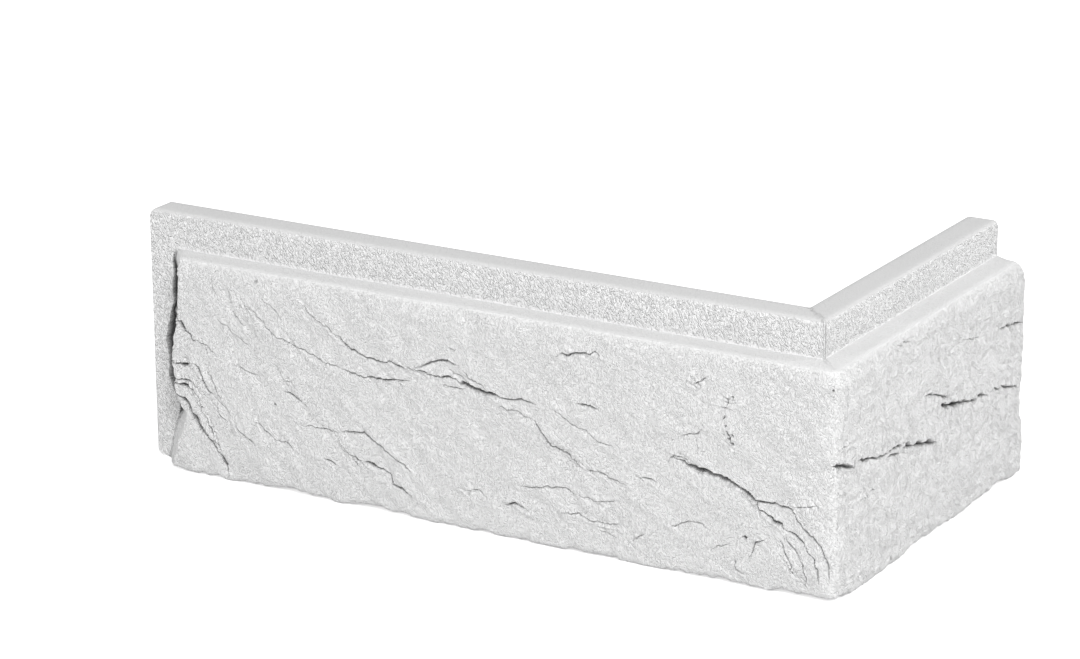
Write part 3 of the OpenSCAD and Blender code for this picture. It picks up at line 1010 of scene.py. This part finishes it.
def make_finish(name, groups, colour, painted_shade_colour, grain, pores=(0.02, 0.05, 0.0004),
                fade=None, on_skin=True):
    """One cast concrete finish. grain is (size, height) and pores (spacing, radius, depth);
    fade names the attribute that calms the grain at the edges. The clefts, the slit and the pin holes are
    darkened towards a painted shade colour."""
    material = bpy.data.materials.new(name)
    material.use_nodes = True
    tree = material.node_tree
    tree.nodes.clear()
    output = add_node(tree, "ShaderNodeOutputMaterial")
    shader = add_node(tree, "ShaderNodeBsdfPrincipled", {"Roughness": 0.92, "Specular IOR Level": 0.2})
    feed(tree, shader.outputs[0], output.inputs["Surface"])
    if on_skin:
        place = add_node(tree, "ShaderNodeAttribute", attribute_name="skin").outputs["Vector"]
    else:
        place = add_node(tree, "ShaderNodeTexCoord").outputs["Object"]

    def group(label, source, values):
        node = add_node(tree, "ShaderNodeGroup", node_tree=groups[label])
        feed(tree, source, node.inputs[0])
        for index, value in enumerate(values):
            node.inputs[index + 1].default_value = value
        return node

    grains = group("grain", place, grain)
    holes = group("pores", place, pores)
    tone = group("mottle", place, [(*colour, 1), 0.04, 0.03])
    height = grains.outputs["Height"]
    # Painted shade in the pin holes: their colour is drawn towards the shade colour
    painted_shade = maths(tree, "MULTIPLY", holes.outputs["Mask"], 0.6)
    if fade:
        calm = add_node(tree, "ShaderNodeAttribute", attribute_name=fade).outputs["Fac"]
        kept = maths(tree, "ADD", 0.12, maths(tree, "MULTIPLY", calm, 0.88))
        height = maths(tree, "MULTIPLY", height, kept)
        painted_shade = maths(tree, "MULTIPLY", painted_shade, calm)
    height = maths(tree, "ADD", height, holes.outputs["Height"])
    bump = add_node(tree, "ShaderNodeBump", {"Strength": 1.0, "Distance": 1.0})
    feed(tree, height, bump.inputs["Height"])
    feed(tree, bump.outputs[0], shader.inputs["Normal"])

    # Painted shade: the colour is drawn towards the shade colour in the clefts and the pin holes
    cleft = add_node(tree, "ShaderNodeAttribute", attribute_name="cleft").outputs["Fac"]
    mix = add_node(tree, "ShaderNodeMix", data_type="RGBA")
    mix.inputs[7].default_value = (*painted_shade_colour, 1)
    feed(tree, maths(tree, "MAXIMUM", cleft, painted_shade), mix.inputs[0])
    feed(tree, tone.outputs["Colour"], mix.inputs[6])
    feed(tree, mix.outputs[2], shader.inputs["Base Color"])
    return material


def concrete_finishes(look):
    """The five finishes of the slip, in the order of FINISHES."""
    groups = {"grain": grain_group(), "pores": pore_group(), "mottle": mottle_group()}
    grain, painted_shade = look.grain_height, look.cleft_painted_shade
    return [
        make_finish("face_concrete", groups, look.face_colour, painted_shade, (0.00065, grain * 0.9),
                    fade="face_fade"),
        # Partly painted shade: the edges' own tone, darkened against the light from above on the shelf
        make_finish("edge_concrete_and_painted_shade", groups, look.edge_tone_and_painted_shade, painted_shade, (0.0012, grain * 0.25),
                    pores=(0.03, 0.03, 0.0002)),
        make_finish("strip_concrete", groups, look.strip_colour, painted_shade, (0.0009, grain * 1.4),
                    fade="strip_fade"),
        # Painted shade: a darker copy of the concrete on the plate's upper edge
        make_finish("rim_concrete_painted_shade", groups, look.rim_painted_shade_colour, painted_shade, (0.0009, grain * 0.2)),
        make_finish("back_concrete", groups, look.edge_tone_and_painted_shade, painted_shade, (0.003, grain),
                    pores=(0.012, 0.12, 0.0008), on_skin=False)]


# Operators


class BuildSlip(bpy.types.Operator):
    """Build the displaced skin of the corner brick slip and its concrete"""

    bl_idname = "brick_slip.build_slip"
    bl_label = "Build corner slip"

    def execute(self, context):
        sizes, look = context.scene.slip_sizes, context.scene.slip_look
        mesh = build_mesh(Shape(sizes))
        piece = bpy.data.objects.new("corner_slip", mesh)
        context.collection.objects.link(piece)
        for material in concrete_finishes(look):
            mesh.materials.append(material)
        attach(piece, "root")
        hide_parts(NODE)
        return {"FINISHED"}


def camera_axes(stage):
    """Right, up and forward of the camera."""
    a, e, r = stage.azimuth, stage.elevation, stage.roll
    forward = Vector((-math.sin(a) * math.cos(e), math.cos(a) * math.cos(e), -math.sin(e)))
    level = Vector((math.cos(a), math.sin(a), 0))
    upright = level.cross(forward)
    right = level * math.cos(r) + upright * math.sin(r)
    up = upright * math.cos(r) - level * math.sin(r)
    return right, up, forward


def make_camera(stage):
    """The camera, placed so that the slip's front foot corner shows where the photograph has it."""
    data = bpy.data.cameras.new("camera")
    data.sensor_width = 36
    data.lens = stage.focal
    camera = bpy.data.objects.new("camera", data)
    right, up, forward = camera_axes(stage)
    corner = Vector((CAD_HIGH[0], CAD_LOW[1], CAD_LOW[2]))
    pixels = stage.focal / data.sensor_width * PHOTO_SIZE[0]
    across = (CORNER_PIXEL[0] - PHOTO_SIZE[0] / 2) / pixels * stage.distance
    down = (CORNER_PIXEL[1] - PHOTO_SIZE[1] / 2) / pixels * stage.distance
    spot = corner - right * across + up * down - forward * stage.distance
    turn = Matrix((right, up, -forward)).transposed().to_4x4()
    camera.matrix_world = Matrix.Translation(spot) @ turn
    bpy.context.scene.collection.objects.link(camera)
    bpy.context.scene.camera = camera


def make_lamp(name, azimuth, elevation, power):
    """A square area lamp that looks at the slip from a direction round it."""
    data = bpy.data.lights.new(name, "AREA")
    data.size = LAMP_SIDE
    data.energy = power
    lamp = bpy.data.objects.new(name, data)
    a, e = math.radians(azimuth), math.radians(elevation)
    away = Vector((math.sin(a) * math.cos(e), -math.cos(a) * math.cos(e), math.sin(e)))
    lamp.location = away * LAMP_DISTANCE
    lamp.rotation_euler = away.to_track_quat("Z", "Y").to_euler()
    bpy.context.scene.collection.objects.link(lamp)


def seen_directly(tree):
    """1 for camera, glossy and transmission rays, and 0 for the light that falls on the slip."""
    path = add_node(tree, "ShaderNodeLightPath")
    seen = maths(tree, "ADD", path.outputs["Is Camera Ray"], path.outputs["Is Glossy Ray"])
    return maths(tree, "ADD", seen, path.outputs["Is Transmission Ray"], clamp=True)


def white_for_camera(tree, shader, strength):
    """Shows plain white in place of a shader to camera, glossy and transmission rays."""
    glow = add_node(tree, "ShaderNodeEmission", {"Color": (1, 1, 1, 1), "Strength": strength})
    mix = add_node(tree, "ShaderNodeMixShader")
    feed(tree, seen_directly(tree), mix.inputs[0])
    feed(tree, shader, mix.inputs[1])
    feed(tree, glow.outputs[0], mix.inputs[2])
    return mix.outputs[0]


# Half the floor's side, its gap under the slip and how much it glows for the camera
FLOOR_REACH = 6.0
FLOOR_GAP = 0.00005
FLOOR_GLOW = 0.6
# Each lamp's azimuth and elevation in degrees, and its share of the key light's power
LAMPS = {"key": (42, 37, 1.0), "left": (-30, 26, 0.3), "right": (118, 26, 0.42)}
LAMP_DISTANCE = 1.8
LAMP_SIDE = 0.4


def make_floor():
    """A wide pale floor that shows white round the slip and keeps a faint shadow."""
    mesh = bpy.data.meshes.new("floor")
    low = CAD_LOW[2] - FLOOR_GAP
    corners = [(x * FLOOR_REACH, y * FLOOR_REACH, low) for x, y in ((-1, -1), (1, -1), (1, 1), (-1, 1))]
    mesh.from_pydata(corners, [], [(0, 1, 2, 3)])
    floor = bpy.data.objects.new("floor", mesh)
    bpy.context.scene.collection.objects.link(floor)
    material = bpy.data.materials.new("pale_floor")
    material.use_nodes = True
    tree = material.node_tree
    tree.nodes.clear()
    output = add_node(tree, "ShaderNodeOutputMaterial")
    matt = add_node(tree, "ShaderNodeBsdfDiffuse", {"Color": (0.8, 0.8, 0.8, 1)})
    glow = add_node(tree, "ShaderNodeEmission", {"Color": (1, 1, 1, 1)})
    feed(tree, maths(tree, "MULTIPLY", seen_directly(tree), FLOOR_GLOW), glow.inputs["Strength"])
    both = add_node(tree, "ShaderNodeAddShader")
    feed(tree, matt.outputs[0], both.inputs[0])
    feed(tree, glow.outputs[0], both.inputs[1])
    feed(tree, both.outputs[0], output.inputs["Surface"])
    mesh.materials.append(material)


def make_room(fill):
    """A plain white room: it lights the slip at the fill strength and shows as white."""
    world = bpy.data.worlds.new("white_room")
    bpy.context.scene.world = world
    world.use_nodes = True
    tree = world.node_tree
    tree.nodes.clear()
    output = add_node(tree, "ShaderNodeOutputWorld")
    room = add_node(tree, "ShaderNodeBackground", {"Color": (1, 1, 1, 1), "Strength": fill})
    feed(tree, white_for_camera(tree, room.outputs[0], 1.0), output.inputs["Surface"])


class BuildStage(bpy.types.Operator):
    """Set the floor, the white room, the lamps and the camera"""

    bl_idname = "brick_slip.build_stage"
    bl_label = "Build stage"

    def execute(self, context):
        stage = context.scene.slip_stage
        make_camera(stage)
        make_floor()
        make_room(stage.fill)
        for name, (azimuth, elevation, power) in LAMPS.items():
            make_lamp(name, azimuth, elevation, stage.key_power * power)
        context.scene.view_settings.view_transform = "Standard"
        return {"FINISHED"}


class SlipPanel(bpy.types.Panel):
    """Sidebar panel of the brick slip"""

    bl_idname = "VIEW3D_PT_brick_slip"
    bl_label = "Brick slip"
    bl_space_type = "VIEW_3D"
    bl_region_type = "UI"
    bl_category = "Brick slip"

    def draw(self, context):
        for settings in (context.scene.slip_sizes, context.scene.slip_look, context.scene.slip_stage):
            box = self.layout.box()
            for name in settings.__annotations__:
                box.prop(settings, name)
        self.layout.operator(BuildSlip.bl_idname)
        self.layout.operator(BuildStage.bl_idname)


CLASSES = (SlipSizes, SlipLook, SlipStage, BuildSlip, BuildStage, SlipPanel)


def register():
    """Adds the classes and their settings."""
    for cls in CLASSES:
        bpy.utils.register_class(cls)
    bpy.types.Scene.slip_sizes = bpy.props.PointerProperty(type=SlipSizes)
    bpy.types.Scene.slip_look = bpy.props.PointerProperty(type=SlipLook)
    bpy.types.Scene.slip_stage = bpy.props.PointerProperty(type=SlipStage)


def unregister():
    """Removes the classes and their settings."""
    del bpy.types.Scene.slip_stage
    del bpy.types.Scene.slip_look
    del bpy.types.Scene.slip_sizes
    for cls in reversed(CLASSES):
        bpy.utils.unregister_class(cls)


def main():
    """Builds the slip and its stage."""
    register()
    bpy.ops.brick_slip.build_slip()
    bpy.ops.brick_slip.build_stage()


if __name__ == "__main__":
    main()
